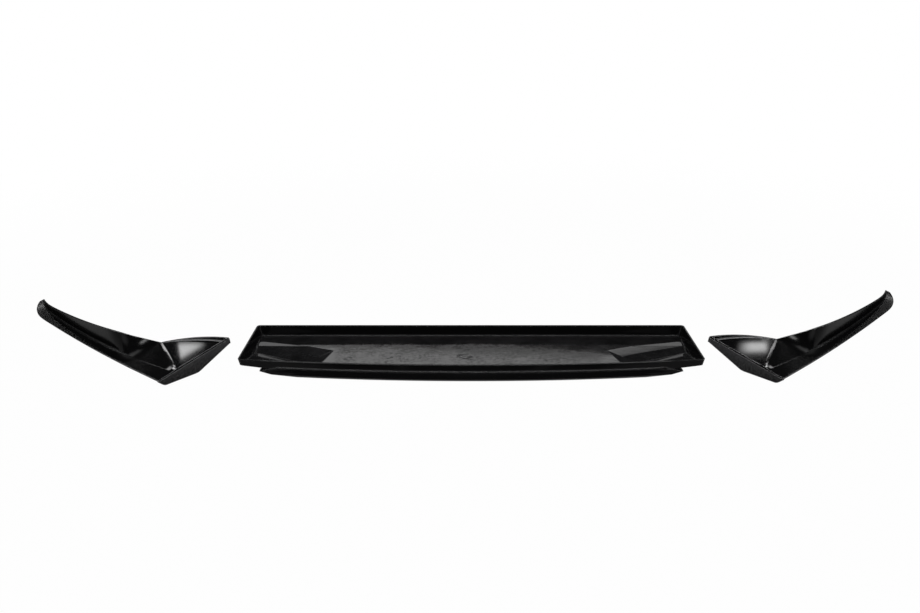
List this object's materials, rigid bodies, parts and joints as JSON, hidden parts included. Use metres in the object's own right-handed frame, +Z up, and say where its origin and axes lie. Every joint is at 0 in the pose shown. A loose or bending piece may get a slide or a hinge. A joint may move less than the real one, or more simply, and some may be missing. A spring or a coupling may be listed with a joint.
{
  "type": "front splitter lip",
  "caption": "Gloss black front splitter lip set: a shallow tray-shaped centre section and swept corner blades that each rise to a tapering wall and end in a shallow cup.",
  "frame": {"origin": "on the ground under the middle of the laid-out set's bounding box", "axes": "+X across the car from the set's left to its right, +Y from the splitter's front edge to the back, +Z up"},
  "size_m": [1.8234, 0.4578, 0.058],
  "materials": {
    "centre_plastic": "gloss black with a dusty satin floor",
    "corner_plastic": "high gloss black"
  },
  "bodies": {
    "root": {"centre_section": "centre_plastic", "left_corner": "corner_plastic", "right_corner": "corner_plastic"}
  },
  "joints": []
}
